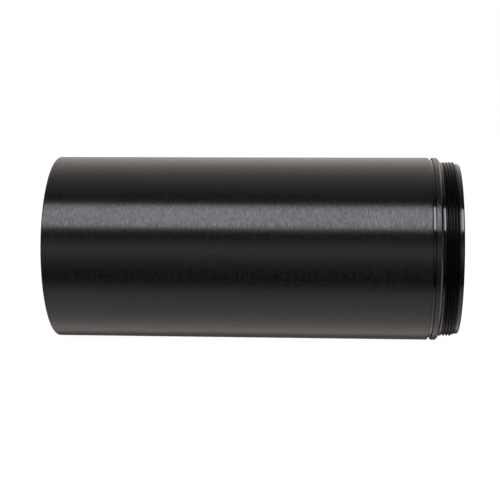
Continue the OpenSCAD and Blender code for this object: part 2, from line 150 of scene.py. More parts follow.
def noise(tree, per_mm, detail=2.0, roughness=0.5, place=None):
    """Noise over the object's own coordinates, with per_mm features a millimetre along X, Y and Z."""
    if place is None:
        place = add_node(tree, "TexCoord").outputs["Object"]
    place = add_node(tree, "Mapping", [("Vector", place)], Scale=[n / MM for n in per_mm]).outputs[0]
    made = add_node(tree, "TexNoise", [("Vector", place)], Scale=1.0, Detail=detail,
                    Roughness=roughness)
    return made.outputs["Fac"]


def ramp(tree, value, stops):
    """A colour ramp's output: stops are (place, colour or grey)."""
    made = add_node(tree, "ValToRGB", [("Fac", value)])
    elements = made.color_ramp.elements
    while len(elements) > 1:
        elements.remove(elements[-1])
    for index, (place, colour) in enumerate(stops):
        element = elements[0] if index == 0 else elements.new(place)
        element.position = place
        element.color = (colour,) * 3 + (1,) if isinstance(colour, (int, float)) else (*colour, 1)
    return made.outputs[0]


def span(tree, value, low, high, out_low, out_high):
    """value, mapped from low..high to out_low..out_high and held at its ends."""
    made = add_node(tree, "MapRange", [("Value", value)], From_Min=low, From_Max=high,
                    To_Min=out_low, To_Max=out_high)
    return made.outputs[0]


def finish_material(tree, surface, height=None, depth=0):
    """Links the shader to the output, with a bump of the given depth in millimetres from a height."""
    if height is not None:
        bump = add_node(tree, "Bump", [("Height", height)], Strength=1.0, Distance=depth * MM)
        tree.links.new(bump.outputs[0], surface.inputs["Normal"])
    out = add_node(tree, "OutputMaterial")
    tree.links.new(surface.outputs[0], out.inputs["Surface"])


def shader(tree, **sockets):
    """A Principled shader: a socket takes a value, or an output to link."""
    made = add_node(tree, "BsdfPrincipled")
    for key, value in sockets.items():
        socket = made.inputs[key.replace("_", " ")]
        if isinstance(value, bpy.types.NodeSocket):
            tree.links.new(value, socket)
        elif key == "Base_Color":
            socket.default_value = (*value, 1)
        else:
            socket.default_value = value
    return made


# ---- Studio ----

# The surround's brightness by angle in degrees: 0 is level towards the viewer, 90 up, -90 down.
SURROUND = [
    (-180, 0.15), (-154, 0.14), (-141, 0.20), (-128, 1.0), (-94, 0.875), (-66, 0.725), (-52, 0.52),
    (-46, 0.175), (-41, 0.01), (-34, 0.0), (-24, 0.12), (-8, 0.40), (1, 0.68), (10, 0.46), (20, 0.05),
    (62, 0.0), (70, 0.04), (80, 0.20), (100, 0.45), (120, 0.83), (142, 1.21), (164, 0.99), (180, 0.19),
]
# Its colour: warm behind the tube, cool in front.
WARM, COOL = (1.0, 0.925, 0.895), (0.98, 0.917, 1.0)
SURROUND_TINTS = [(-180, WARM), (-100, WARM), (-66, COOL), (60, COOL), (100, WARM), (180, WARM)]
# How much of it is left past each end of the tube, above the table's level.
END_START, END_FULL, END_LEFT = 0.60, 0.88, 0.08
# At these angles the room behind the viewer dims it, to VIEWER_LEFT in the middle; the sides are brighter.
VIEWER = [(-32, 0.0), (-22, 1.0), (12, 1.0), (20, 0.0)]
VIEWER_START, VIEWER_FULL, VIEWER_LEFT, VIEWER_SIDES = 0.10, 0.26, 0.12, 1.45
# The key light, above the viewer.
KEY_RISE = radians(44.55)
KEY_DISTANCE, KEY_WIDTH, KEY_LENGTH = 0.6, 0.3138, 1.0
KEY_RADIANCE, KEY_COLOUR = 6.27, (0.911, 0.925, 1.0)
TUBE_MIDDLE = Vector((-45, 0, 0)) * MM


def angle_ramp(tree, share, stops):
    """A ramp round the tube from the share of a full turn: stops are (degrees, colour or grey)."""
    return ramp(tree, share, [((angle + 180) / 360, colour) for angle, colour in stops])


def add_world():
    """A pale backdrop for the viewer. What the object reflects is white behind it and darker in front."""
    world = bpy.data.worlds.new("studio")
    bpy.context.scene.world = world
    bpy.context.scene.view_settings.view_transform = "Standard"
    world.use_nodes = True
    tree = world.node_tree
    tree.nodes.clear()
    place = add_node(tree, "TexCoord").outputs["Generated"]
    way = add_node(tree, "SeparateXYZ", [("Vector", place)])
    front = maths(tree, "MULTIPLY", way.outputs["Y"], -1.0)
    turn = maths(tree, "ARCTAN2", way.outputs["Z"], front)
    share = maths(tree, "ADD", maths(tree, "DIVIDE", turn, 2 * pi), 0.5)
    lean = maths(tree, "ABSOLUTE", way.outputs["X"])
    above = span(tree, way.outputs["Z"], 0.0, 0.2, 0.0, 1.0)
    dark_ends = maths(tree, "MULTIPLY", span(tree, lean, END_START, END_FULL, 0.0, 1 - END_LEFT), above)
    ends = maths(tree, "SUBTRACT", 1.0, dark_ends)
    room = span(tree, lean, VIEWER_START, VIEWER_FULL, 1 - VIEWER_LEFT, 1 - VIEWER_SIDES)
    taken = maths(tree, "MULTIPLY", angle_ramp(tree, share, VIEWER), room)
    gap = maths(tree, "SUBTRACT", 1.0, taken)
    strength = maths(tree, "MULTIPLY", ends, gap)
    colours = [(6, angle_ramp(tree, share, SURROUND)), (7, angle_ramp(tree, share, SURROUND_TINTS))]
    tinted = add_node(tree, "Mix", colours, data_type="RGBA", blend_type="MULTIPLY", Factor=1.0)
    seen = add_node(tree, "Background", Color=(1, 1, 1, 1), Strength=1.0)
    lit = add_node(tree, "Background", [("Color", tinted.outputs[2]), ("Strength", strength)])
    ray = add_node(tree, "LightPath").outputs["Is Camera Ray"]
    mixed = add_node(tree, "MixShader", [(0, ray), (1, lit.outputs[0]), (2, seen.outputs[0])])
    out = add_node(tree, "OutputWorld")
    tree.links.new(mixed.outputs[0], out.inputs["Surface"])


def add_key():
    """A soft light that faces the middle of the tube. Its length lies along the tube."""
    data = bpy.data.lights.new("key", "AREA")
    data.shape = "RECTANGLE"
    data.size = KEY_LENGTH
    data.size_y = KEY_WIDTH
    data.energy = KEY_RADIANCE * pi * KEY_WIDTH * KEY_LENGTH
    data.color = KEY_COLOUR
    light = new_object("key", data)
    way = Vector((0, -cos(KEY_RISE), sin(KEY_RISE)))
    light.location = TUBE_MIDDLE + way * KEY_DISTANCE
    light.rotation_euler = Euler((pi / 2 - KEY_RISE, 0, 0))
    light.visible_camera = False


def add_floor():
    """A white floor at the object's lowest point, which the object doesn't reflect."""
    mesh = bpy.data.meshes.new("floor")
    half = 4.0
    corners = [(x * half, y * half, cad_box[0].z) for x, y in ((-1, -1), (1, -1), (1, 1), (-1, 1))]
    mesh.from_pydata(corners, [], [(0, 1, 2, 3)])
    floor = new_object("floor", mesh)
    tree = new_material("floor")
    finish_material(tree, shader(tree, Base_Color=(0.08, 0.08, 0.08), Roughness=0.9, Specular_IOR_Level=0.1,
                                 Emission_Color=(1, 1, 1, 1), Emission_Strength=0.98))
    mesh.materials.append(MATERIALS["floor"])
    floor.visible_glossy = False


# ---- Mesh tools ----

FULL_TURN = 2 * pi
ARC_STEP = 0.53          # radians turned by each step of a rounded corner
SHARP = radians(42)      # a harder edge than this stays crisp
THREAD_ROWS = 16         # rows of points to a pitch
SIDES_LARGE, SIDES_NOSE, SIDES, SIDES_SMALL = 256, 216, 128, 64

# A helical thread between two points (x, r) of an outline. A crest crosses the top at x = crest_at.
Thread = namedtuple("Thread", "start end pitch crest_at crest root")


def corner_arc(before, corner, after, radius):
    """The points that round a corner of an outline."""
    into, out = before - corner, after - corner
    turn = pi - into.angle(out)
    if radius <= 0 or turn < 0.1 or corner.y == 0:
        return [corner]
    reach = min(radius * tan(turn / 2), 0.45 * min(into.length, out.length))
    spoke = reach / tan(turn / 2)
    centre = corner + (into.normalized() + out.normalized()).normalized() * hypot(spoke, reach)
    first = corner + into.normalized() * reach - centre
    last = corner + out.normalized() * reach - centre
    steps = max(2, round(turn / ARC_STEP))
    turns = [turn * i / steps for i in range(steps + 1)]
    return [centre + (first * sin(turn - t) + last * sin(t)) / sin(turn) for t in turns]


def helix_rows(thread, angles):
    """Rows of a right-hand thread: from start to end, with 60 degree flanks and a run-out at each end."""
    x0, x1 = thread.start[0], thread.end[0]
    count = max(2, round(abs(x1 - x0) / thread.pitch * THREAD_ROWS))
    flat = thread.pitch / 9
    flank = abs(thread.crest - thread.root) * tan(radians(30))
    rows = []
    for i in range(count + 1):
        x = x0 + (x1 - x0) * i / count
        turns = (x - thread.crest_at) / thread.pitch - (angles - pi / 2) / FULL_TURN
        away = np.abs((turns + 0.5) % 1 - 0.5) * thread.pitch
        tooth = np.clip(1 - (away - flat / 2) / flank, 0, 1)
        r = thread.root + (thread.crest - thread.root) * tooth
        for end_x, end_r in (thread.start, thread.end):
            slope = abs(x - end_x) * sqrt(3)
            if end_r > thread.root + 0.001:
                r = np.maximum(r, end_r - slope)
            else:
                r = np.minimum(r, end_r + slope)
        rows.append((np.full_like(angles, x), r))
    return rows


def closed_mesh(points, faces):
    """Welds points that coincide and drops the faces that this leaves without an area."""
    keys, index = np.unique(np.round(points, 6), axis=0, return_inverse=True)
    index = index.ravel()
    kept = []
    for face in faces:
        ring = [index[i] for i in face]
        ring = [v for k, v in enumerate(ring) if v != ring[k - 1]]
        if len(set(ring)) >= 3:
            kept.append(ring)
    return keys, kept


def turned(outline, radius=0.1, sides=SIDES):
    """A solid turned about X from a closed outline of (x, r), (x, r, corner radius) and Threads."""
    angles = np.arange(sides) * FULL_TURN / sides
    stops = []
    for item in outline:
        if isinstance(item, Thread):
            stops += [(Vector(item.start), 0, item), (Vector(item.end), 0, "end")]
        else:
            stops.append((Vector(item[:2]), item[2] if len(item) > 2 else radius, None))
    rows = []
    for i, (corner, own, thread) in enumerate(stops):
        if isinstance(thread, Thread):
            rows += helix_rows(thread, angles)
        elif thread is None:
            arc = corner_arc(stops[i - 1][0], corner, stops[(i + 1) % len(stops)][0], own)
            rows += [(np.full_like(angles, p.x), np.full_like(angles, p.y)) for p in arc]
    x, r = (np.array(values) for values in zip(*rows))
    points = np.stack([x, r * np.cos(angles), r * np.sin(angles)], axis=-1).reshape(-1, 3)
    faces = []
    for i in range(len(rows)):
        a, b = i * sides, (i + 1) % len(rows) * sides
        faces += [(a + j, b + j, b + (j + 1) % sides, a + (j + 1) % sides) for j in range(sides)]
    return closed_mesh(points, faces)


def collar(back, front, inner, outer, radius, sides=SIDES):
    """A plain ring, or a disc where inner is 0."""
    return turned([(back, inner), (back, outer), (front, outer), (front, inner)], radius, sides)


def rod(start, end, r, sides=32):
    """A sharp-edged rod, which serves as a drill."""
    return collar(start, end, 0, r, 0, sides)


def bevelled(back, front, outer, bevel):
    """Outline points of a cylinder with a bevel at each end, listed towards +X."""
    return [(back, outer - bevel), (back + bevel, outer), (front - bevel, outer), (front, outer - bevel)]


def ring_grooves(places, width, bore, depth):
    """Outline points of V-shaped grooves in a bore, listed towards -X like the places."""
    half, flat = width / 2, width / 6
    return [(x + across, bore + deep, 0.02) for x in places
            for across, deep in ((half, 0), (flat, depth), (-flat, depth), (-half, 0))]


def wire(points, radius, sides):
    """A round wire along points, with frames carried from ring to ring and slightly domed ends."""
    line = [Vector(p) for p in points]
    ways = [(line[min(i + 1, len(line) - 1)] - line[max(i - 1, 0)]).normalized() for i in range(len(line))]
    side = ways[0].orthogonal().normalized()
    made, faces = [], []

    def add_ring(centre, way, size):
        other = way.cross(side)
        for k in range(sides):
            turn = FULL_TURN * k / sides
            made.append(centre + (side * cos(turn) + other * sin(turn)) * size)

    dome, small = radius * 0.25, radius * 0.7
    add_ring(line[0] - ways[0] * dome, ways[0], small)
    for place, way in zip(line, ways):
        side = (side - way * side.dot(way)).normalized()
        add_ring(place, way, radius)
    add_ring(line[-1] + ways[-1] * dome, ways[-1], small)
    rings = len(made) // sides
    for i in range(rings - 1):
        a, b = i * sides, (i + 1) * sides
        faces += [(a + k, b + k, b + (k + 1) % sides, a + (k + 1) % sides) for k in range(sides)]
    faces += [tuple(range(sides)), tuple((rings - 1) * sides + k for k in range(sides))]
    return np.array([tuple(p) for p in made]), faces


def block(low, high, bevel):
    """A block between two corners with bevelled edges."""
    work = bmesh.new()
    bmesh.ops.create_cube(work, size=1)
    low, high = Vector(low), Vector(high)
    for vertex in work.verts:
        vertex.co = Vector(l + (h - l) * (c + 0.5) for l, h, c in zip(low, high, vertex.co))
    if bevel:
        bmesh.ops.bevel(work, geom=work.edges[:], offset=bevel, segments=2, profile=0.5, affect="EDGES")
    points = np.array([tuple(v.co) for v in work.verts])
    faces = [tuple(v.index for v in f.verts) for f in work.faces]
    work.free()
    return points, faces


def moved(shape, matrix):
    points, faces = shape
    return np.array([tuple(matrix @ Vector(p)) for p in points]), faces


def shifted(shape, x=0, y=0, z=0):
    return shape[0] + np.array([x, y, z]), shape[1]


def pair(shape, y=0, z=0):
    """Two copies of a shape, one on each side of the axis."""
    return [shifted(shape, y=side * y, z=side * z) for side in (-1, 1)]


def around(shape, degrees):
    """The shape turned about X."""
    return moved(shape, Matrix.Rotation(radians(degrees), 4, "X"))


def joined(*shapes):
    points, faces = [], []
    for made, rings in shapes:
        start = sum(len(p) for p in points)
        points.append(made)
        faces += [tuple(start + i for i in ring) for ring in rings]
    return np.concatenate(points), faces


def mesh_object(name, shape):
    points, faces = shape
    mesh = bpy.data.meshes.new(name)
    mesh.from_pydata((np.asarray(points) * MM).tolist(), [], [tuple(int(i) for i in f) for f in faces])
    work = bmesh.new()
    work.from_mesh(mesh)
    bmesh.ops.recalc_face_normals(work, faces=work.faces)
    work.to_mesh(mesh)
    work.free()
    return new_object(name, mesh)


def combine(piece, shapes, operation):
    """Cuts shapes out of a piece, or adds them to it."""
    others = [mesh_object("tool", shape) for shape in shapes]
    for other in others:
        step = piece.modifiers.new("combine", "BOOLEAN")
        step.operation = operation
        step.solver = "EXACT"
        step.object = other
    bpy.context.view_layer.update()
    seen = piece.evaluated_get(bpy.context.evaluated_depsgraph_get())
    mesh = bpy.data.meshes.new_from_object(seen)
    piece.modifiers.clear()
    piece.data = mesh
    for other in others:
        bpy.data.objects.remove(other)


def smooth(piece):
    """Smooth shading with crisp hard edges, and normals that follow the large faces."""
    mesh = piece.data
    work = bmesh.new()
    work.from_mesh(mesh)
    for face in work.faces:
        face.smooth = True
    for edge in work.edges:
        edge.smooth = len(edge.link_faces) == 2 and edge.calc_face_angle(0) < SHARP
    work.to_mesh(mesh)
    work.free()
    step = piece.modifiers.new("normals", "WEIGHTED_NORMAL")
    step.mode = "FACE_AREA"
    step.keep_sharp = True


def add_piece(node, shape, cuts=(), adds=(), name=None, slot=None, place=None, body=None, stretch=None):
    """A piece that stands for a CAD node: it has its material slot, and rides on the node's body unless
    stretch is given.

    stretch is (body, body, start, end), for a spring or wire between two bodies. Its bodies and ends are not
    used: a piece given it is fixed where it is built, on no body.
    """
    piece = mesh_object(name or "fine_" + node, shape)
    if adds:
        combine(piece, adds, "UNION")
    if cuts:
        combine(piece, cuts, "DIFFERENCE")
    smooth(piece)
    slot = slot or SLOTS[node]
    piece.data.materials.append(MATERIALS[slot])
    if place is not None:
        piece.matrix_world = place
    if stretch:
        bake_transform(piece)
    else:
        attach(piece, body or BODIES[node])
    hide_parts(node)
    return piece


# ---- Materials ----


def axis_place(tree):
    """A point's place along X and its distance from the X axis, for marks that a lathe leaves."""
    place = add_node(tree, "TexCoord").outputs["Object"]
    along = add_node(tree, "SeparateXYZ", [("Vector", place)]).outputs["X"]
    across = add_node(tree, "VectorMath", [(0, place)], operation="MULTIPLY")
    across.inputs[1].default_value = (0, 1, 1)
    away = add_node(tree, "VectorMath", [(0, across.outputs[0])], operation="LENGTH")
    return add_node(tree, "CombineXYZ", [("X", along), ("Y", away.outputs["Value"])]).outputs[0]


def tones(colour, tint):
    """Ramp stops of a darker and a lighter tone of a colour."""
    ends = ((0.3, 1 - tint), (0.7, 1 + tint))
    return [(place, tuple(min(1, c * tone) for c in colour)) for place, tone in ends]


def anodised(name, streaks, roughness, spread, anisotropy, depth, tint, glint, level):
    """Black anodised aluminium, brushed round the tube: streaks are (per mm along X, per mm round).

    tint and glint are the base colours and the reflection's strengths at the two ends of the grain.
    """
    tree = new_material(name)
    along, across = streaks
    grain_ends = (0.34, 0.66)
    grain = noise(tree, (along, across, across), detail=3.0, roughness=0.6)
    fine = noise(tree, (along * 3, across * 2, across * 2), detail=1.0)
    smudge = noise(tree, (0.05, 0.08, 0.08), detail=2.0)
    mixed = maths(tree, "ADD", maths(tree, "MULTIPLY", grain, 0.7), maths(tree, "MULTIPLY", fine, 0.3))
    rough = maths(tree, "ADD", span(tree, mixed, 0.3, 0.7, roughness - spread, roughness + spread),
                  span(tree, smudge, 0.35, 0.65, -0.01, 0.01))
    colour, sparkle = (ramp(tree, mixed, list(zip(grain_ends, ends))) for ends in (tint, glint))
    surface = shader(tree, Base_Color=colour, Roughness=rough, IOR=1.5, Specular_IOR_Level=level,
                     Specular_Tint=sparkle, Anisotropic=anisotropy, Anisotropic_Rotation=0.25)
    tangent = add_node(tree, "Tangent", direction_type="RADIAL", axis="X")
    tree.links.new(tangent.outputs[0], surface.inputs["Tangent"])
    finish_material(tree, surface, mixed, depth)


def metal(name, colour, roughness, marks=5.0, depth=0.002, tint=0.08):
    """Turned metal: fine rings round the X axis, and a faint cloudiness."""
    tree = new_material(name)
    lines = noise(tree, (marks, marks, 1), detail=4.0, roughness=0.7, place=axis_place(tree))
    cloud = noise(tree, (0.3, 0.3, 0.3), detail=3.0)
    mixed = maths(tree, "ADD", maths(tree, "MULTIPLY", lines, 0.6), maths(tree, "MULTIPLY", cloud, 0.4))
    rough = span(tree, mixed, 0.3, 0.7, roughness * 0.8, roughness * 1.25)
    tone = ramp(tree, mixed, tones(colour, tint))
    finish_material(tree, shader(tree, Base_Color=tone, Metallic=1.0, Roughness=rough), lines, depth)


def plastic(name, colour, roughness, grain=4.0, depth=0.004, tint=0.12, coat=0.0):
    """Moulded plastic, rubber or paint: a fine even grain and a faint cloudiness."""
    tree = new_material(name)
    fine = noise(tree, (grain, grain, grain), detail=3.0)
    cloud = noise(tree, (0.25, 0.25, 0.25), detail=2.0)
    mixed = maths(tree, "ADD", maths(tree, "MULTIPLY", fine, 0.5), maths(tree, "MULTIPLY", cloud, 0.5))
    rough = span(tree, mixed, 0.3, 0.7, roughness - 0.06, roughness + 0.08)
    tone = ramp(tree, mixed, tones(colour, tint))
    finish_material(tree, shader(tree, Base_Color=tone, Roughness=rough, Coat_Weight=coat), fine, depth)


def circuit_board(name):
    """Green solder mask over copper tracks, which follow the level lines of a slow noise."""
    tree = new_material(name)
    field = noise(tree, (0.35, 0.35, 0.35), detail=0.0)
    steps = maths(tree, "FRACT", maths(tree, "MULTIPLY", field, 14.0))
    tracks = ramp(tree, steps, [(0.0, 0.0), (0.38, 0.0), (0.44, 1.0), (0.66, 1.0), (0.72, 0.0)])
    weave = noise(tree, (3, 3, 3), detail=2.0)
    mask = ramp(tree, weave, tones((0.012, 0.09, 0.035), 0.15))
    mixed = add_node(tree, "Mix", [(0, tracks), (6, mask)], data_type="RGBA")
    mixed.inputs[7].default_value = (0.03, 0.19, 0.07, 1)
    surface = shader(tree, Base_Color=mixed.outputs[2], Roughness=span(tree, weave, 0.3, 0.7, 0.28, 0.4))
    finish_material(tree, surface, tracks, 0.02)


def coated_glass(name):
    """Coated lens glass, with a faint haze."""
    tree = new_material(name)
    smudge = noise(tree, (0.5, 0.5, 0.5), detail=3.0)
    colour = ramp(tree, smudge, [(0.3, (0.90, 0.95, 1.0)), (0.7, (0.95, 0.98, 1.0))])
    rough = span(tree, smudge, 0.45, 0.75, 0.0, 0.05)
    finish_material(tree, shader(tree, Base_Color=colour, Roughness=rough, IOR=1.52, Transmission_Weight=1.0,
                                 Coat_Weight=0.3))


def make_materials():
    anodised("anodised_black", (3.2, 0.9), 0.350, 0.095, 0.99, 0.005,
             ((0.0006, 0.0006, 0.0006), (0.0060, 0.0058, 0.0056)), (0.85, 0.60), 0.69)
    anodised("anodised_gloss", (6.0, 0.5), 0.13, 0.015, 0.5, 0.0006,
             ((0.0005, 0.0005, 0.0005), (0.0015, 0.0015, 0.0014)), (0.9, 1.0), 0.73)
    anodised("anodised_thread", (6.0, 0.5), 0.3, 0.03, 0.5, 0.001,
             ((0.0004, 0.0004, 0.0004), (0.0012, 0.0012, 0.0011)), (0.7, 1.0), 0.16)
    metal("plain_aluminium", (0.70, 0.71, 0.73), 0.30)
    metal("dark_aluminium", (0.075, 0.076, 0.082), 0.36)
    metal("brass", (0.74, 0.53, 0.23), 0.26)
    metal("gold_metal", (0.86, 0.65, 0.28), 0.18, marks=3.0, depth=0.001, tint=0.05)
    metal("spring_steel", (0.55, 0.55, 0.57), 0.24, marks=2.0, depth=0.001)
    metal("screw_steel", (0.055, 0.055, 0.060), 0.38, marks=6.0)
    metal("bright_steel", (0.62, 0.62, 0.63), 0.22, marks=8.0, depth=0.0015)
    plastic("target_white", (0.78, 0.77, 0.72), 0.55, grain=2.5, depth=0.006, tint=0.03)
    plastic("graticule_black", (0.012, 0.012, 0.012), 0.6)
    plastic("seal_rubber", (0.010, 0.010, 0.011), 0.5, grain=6.0, depth=0.006, tint=0.25)
    plastic("carrier_plastic", (0.018, 0.018, 0.019), 0.42)
    plastic("switch_plastic", (0.022, 0.022, 0.024), 0.48, grain=5.0)
    plastic("plunger_plastic", (0.72, 0.71, 0.62), 0.38, tint=0.04)
    plastic("cell_wrap", (0.035, 0.085, 0.34), 0.28, grain=0.8, depth=0.01, tint=0.1, coat=0.3)
    plastic("wire_red", (0.45, 0.012, 0.012), 0.36, grain=1.5)
    plastic("wire_black", (0.015, 0.015, 0.016), 0.36, grain=1.5)
    circuit_board("board_green")
    coated_glass("lens_glass")


make_materials()
SLOTS = {part["node"]: part["material_slot"] for part in frame["record"]["subparts"]}
BODIES = {node: body for body, nodes in frame["record"]["behaviour"]["bodies"].items() for node in nodes}


def paint_cad_nodes():
    for node, slot in SLOTS.items():
        mesh = frame["nodes"][node].data
        mesh.materials.clear()
        mesh.materials.append(MATERIALS[slot])


# ---- Pieces ----
# Sizes are in millimetres: x is counted from the T-2 seat, r from the beam's axis. In an outline's points,
# a third number is the corner's own radius.


def reach(node):
    """A CAD node's first and last x and its outside radius."""
    low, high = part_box(node)
    return low.x / MM, high.x / MM, high.y / MM


REAR, TUBE_FRONT, BODY_R = reach("body_tube")
NOSE_FRONT = reach("nose_ring")[1]
SCREW_X = sum(reach("collimation_screw_a")[:2]) / 2
ADJUSTER_BACK = reach("adjuster_ring")[0]
BORE_R = 20.0
BATTERY_BORE_R = 19.0
TAIL_BORE_R = 20.55
SCREW_WAYS = {"a": 45.0, "b": -45.0}   # degrees from +Y towards +Z
BOARD_SCREW_R = 14.0


def radial_place(degrees, x=SCREW_X):
    """Lays a piece made along X on a line out from the axis, at an angle from +Y towards +Z."""
    turn = radians(degrees)
    way = Vector((0, cos(turn), sin(turn)))
    side = Vector((1, 0, 0))
    place = Matrix((way, side, way.cross(side))).transposed().to_4x4()
    place.translation = (x * MM, 0, 0)
    return place


def add_body_tube():
    clip_back, clip_front, clip_r = REAR + 13.2, REAR + 14.2, BATTERY_BORE_R + 0.8
    cap_stop = REAR + 12.5
    bevel = 0.3
    front_grooves = [TUBE_FRONT - 1.15 - 0.75 * i for i in range(6)]
    cap_grooves = [REAR + 10.5 - i for i in range(6)]
    outline = [
        (REAR, TAIL_BORE_R + bevel), (REAR, BODY_R - bevel, 0.14), (REAR + bevel, BODY_R, 0.2),
        (TUBE_FRONT - bevel, BODY_R, 0.2), (TUBE_FRONT, BODY_R - bevel, 0.14), (TUBE_FRONT, BORE_R, 0.1),
        *ring_grooves(front_grooves, 0.5, BORE_R, 0.35),
        (ADJUSTER_BACK, BORE_R, 0), (ADJUSTER_BACK, BATTERY_BORE_R),
        (clip_front, BATTERY_BORE_R, 0.05), (clip_front, clip_r, 0.05),
        (clip_back, clip_r, 0.05), (clip_back, BATTERY_BORE_R, 0.05),
        (cap_stop, BATTERY_BORE_R), (cap_stop, TAIL_BORE_R),
        *ring_grooves(cap_grooves, 0.6, TAIL_BORE_R, 0.4),
        (REAR + bevel, TAIL_BORE_R),
    ]
    # The holes over the collimation screws flare at the surface.
    hole_r, above = 2.2, BODY_R + 0.6
    drill = turned([(BODY_R - 3, 0), (BODY_R - 3, hole_r, 0), (BODY_R - 0.15, hole_r, 0.08),
                    (above, hole_r + 0.75, 0), (above, 0)], sides=SIDES_SMALL)
    drills = [shifted(moved(drill, radial_place(degrees, 0)), x=SCREW_X) for degrees in SCREW_WAYS.values()]
    add_piece("body_tube", turned(outline, 0.1, SIDES_LARGE), cuts=drills)


def add_nose_ring():
    back = reach("nose_ring")[0]
    spigot_r, spigot_root, spigot_end = BORE_R - 0.03, BORE_R - 0.43, back + 5.8
    neck_r, neck_front, bead_back, bead_front = BODY_R - 0.55, TUBE_FRONT + 0.58, TUBE_FRONT + 0.7, -0.45
    thread_r, root_r, thread_start, thread_end = 21.0, 20.54, 0.6, 3.79
    pilot_r, pilot_start, pilot_line = 20.5, 3.9, 4.22
    bore, shelf, shelf_r, bevel = 18.5, -3.7, 16.5, 0.2
    outline = [
        (back, shelf_r + 0.3), (back, spigot_root - 0.2, 0.05), (back + 0.6, spigot_root, 0.05),
        Thread((back + 1.0, spigot_root), (spigot_end, spigot_root), 0.75, back + 1.5, spigot_r, spigot_root),
        (TUBE_FRONT, spigot_root, 0.05), (TUBE_FRONT, neck_r, 0.04), (neck_front, neck_r, 0.05),
        (bead_back, BODY_R, 0.07), (bead_front, BODY_R, 0.06), (0, BODY_R + bead_front, 0.04),
        # The seat, with a narrow undercut at its foot.
        (0, thread_r, 0.02), (0.06, root_r, 0.02), (0.14, root_r, 0.02), (0.2, thread_r, 0.04),
        Thread((thread_start, thread_r), (thread_end, root_r), 0.75, 1.24, thread_r, root_r),
        (3.85, root_r - 0.19, 0.02), (pilot_start, pilot_r, 0.05), (pilot_line, pilot_r, 0),
        (NOSE_FRONT - bevel, pilot_r, 0.08), (NOSE_FRONT, pilot_r - bevel, 0.08),
        (NOSE_FRONT, bore + 0.4, 0.08), (NOSE_FRONT - 0.4, bore, 0.08),
        Thread((NOSE_FRONT - 0.9, bore), (-2.15, bore), 0.5, -1.9, bore + 0.27, bore),
        (shelf, bore), (shelf, shelf_r), (back + 0.3, shelf_r),
    ]
    piece = add_piece("nose_ring", turned(outline, sides=SIDES_NOSE))
    # The bead and the pilot's rear edge are brushed like the tube. The cut thread, the neck's front and the
    # front bevel are the dullest, and the rest of the ring is smoother.
    brushed, dull = 1, 2
    piece.data.materials.append(MATERIALS["anodised_black"])
    piece.data.materials.append(MATERIALS["anodised_thread"])
    for face in piece.data.polygons:
        x, r = face.center.x / MM, hypot(face.center.y, face.center.z) / MM
        on_bead = r > BODY_R - 0.02
        on_pilot_edge = pilot_start - 0.04 < x < pilot_line and r > pilot_r - 0.1
        on_neck = neck_front - 0.02 < x < bead_back and r > BODY_R - 0.5
        on_thread = thread_start < x < 3.8 and r > BORE_R
        if on_bead or on_pilot_edge:
            face.material_index = brushed
        elif on_neck or on_thread or x > NOSE_FRONT - 0.27:
            face.material_index = dull


def add_target():
    back, front, outer = reach("target_plate")
    hole_r, groove, fill = 2.02, front - 0.2, front - 0.05
    bands = [(r - 0.25, r, r + 0.25) for r in (5.5, 8.5, 11.5, 14.5)]
    outline = [(back, hole_r, 0.05), (back, outer), (front, outer)]
    for low, _, high in reversed(bands):
        outline += [(front, high, 0.03), (groove, high, 0), (groove, low, 0), (front, low, 0.03)]
    add_piece("target_plate", turned(outline + [(front, hole_r, 0.05)], 0.15, SIDES_LARGE))
    rings = [turned([(groove, low), (groove, high), (fill, high), (fill + 0.02, r), (fill, low)], 0)
             for low, r, high in bands]
    add_piece("target_graticule", joined(*rings))


def slots_across(x, inner, outer, half, depth=3.0):
    """Cutters for a pair of slots above and below the axis, from x on towards +X."""
    spans = ((-outer, -inner), (inner, outer))
    return [block((x, -half, low), (x + depth, half, high), 0) for low, high in spans]


def add_target_retainer():
    back, front, outer = reach("target_retainer")
    inner = outer - 2.3
    outline = [
        (back, inner), (back, outer - 0.2), (back + 0.2, outer), (front - 0.2, outer),
        (front, outer - 0.2, 0.06), (front, inner + 0.5, 0.12), (front - 0.5, inner, 0.1),
    ]
    add_piece("target_retainer", turned(outline, 0.06, SIDES_LARGE),
              cuts=slots_across(front - 0.9, inner - 1, outer + 1, 0.6))


def add_aperture_stop():
    back, front, outer = reach("aperture_stop")
    seat, shank_r, hole_r = front - 0.8, 2.0, 0.75
    outline = [
        (back, hole_r, 0.05), (back, shank_r), (seat, shank_r), (seat, outer, 0.05), (seat + 0.5, outer),
        (front, outer - 0.3), (front, 1.65), (seat + 0.2, hole_r, 0.05),
    ]
    add_piece("aperture_stop", turned(outline), cuts=slots_across(seat + 0.35, 2.1, outer + 1, 0.3))


def add_pivot_ring():
    back, front, outer = reach("pivot_ring")
    bore, groove_r, half = 8.5, 9.42, 0.85
    groove_back, groove_front = (back + front) / 2 - half, (back + front) / 2 + half
    outline = [(back, bore, 0.2), *bevelled(back, front, outer, 0.3), (front, bore, 0.2),
               (groove_front, bore), (groove_front, groove_r), (groove_back, groove_r), (groove_back, bore)]
    add_piece("pivot_ring", turned(outline))


def add_o_ring(node, section, sides=24):
    back, front, outer = reach(node)
    x, r, half = (back + front) / 2, outer - section / 2, section / 2
    turn = FULL_TURN / sides
    outline = [(x + half * cos(i * turn), r + half * sin(i * turn), 0) for i in range(sides)]
    add_piece(node, turned(outline, 0, SIDES_LARGE))


